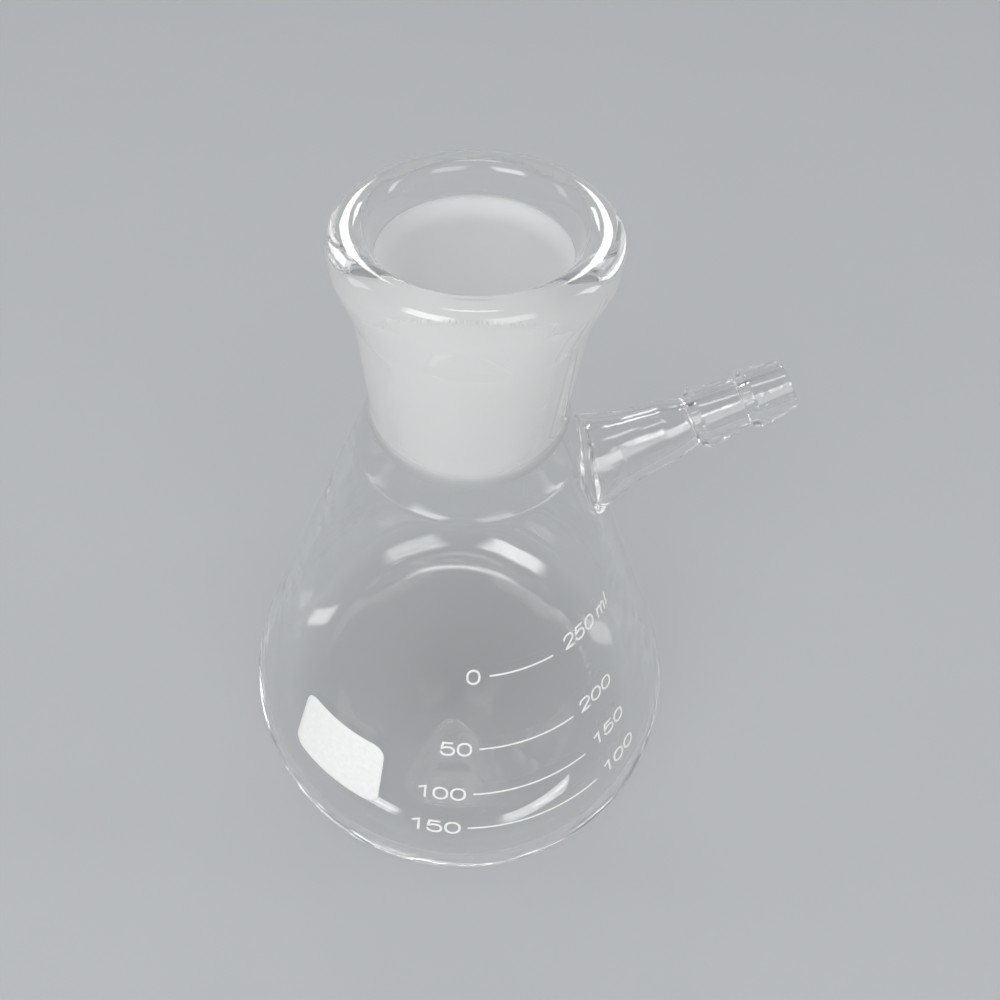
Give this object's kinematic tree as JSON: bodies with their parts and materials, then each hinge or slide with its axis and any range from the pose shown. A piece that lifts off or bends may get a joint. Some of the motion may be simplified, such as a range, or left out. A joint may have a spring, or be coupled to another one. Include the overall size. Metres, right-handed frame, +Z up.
{
  "type": "filter flask",
  "caption": "Conical borosilicate filter flask with a beaded ground-joint neck and a barbed side arm for a vacuum hose.",
  "frame": {"origin": "centre of the circle that the flask stands on, on the flask's axis", "axes": "+Z up along the flask's axis; +X is the side over which the side arm leaves the cone"},
  "size_m": [0.0945, 0.087, 0.125],
  "materials": {
    "glass": "clear",
    "enamel": "satin"
  },
  "bodies": {
    "root": {"flask": "glass"}
  },
  "joints": []
}
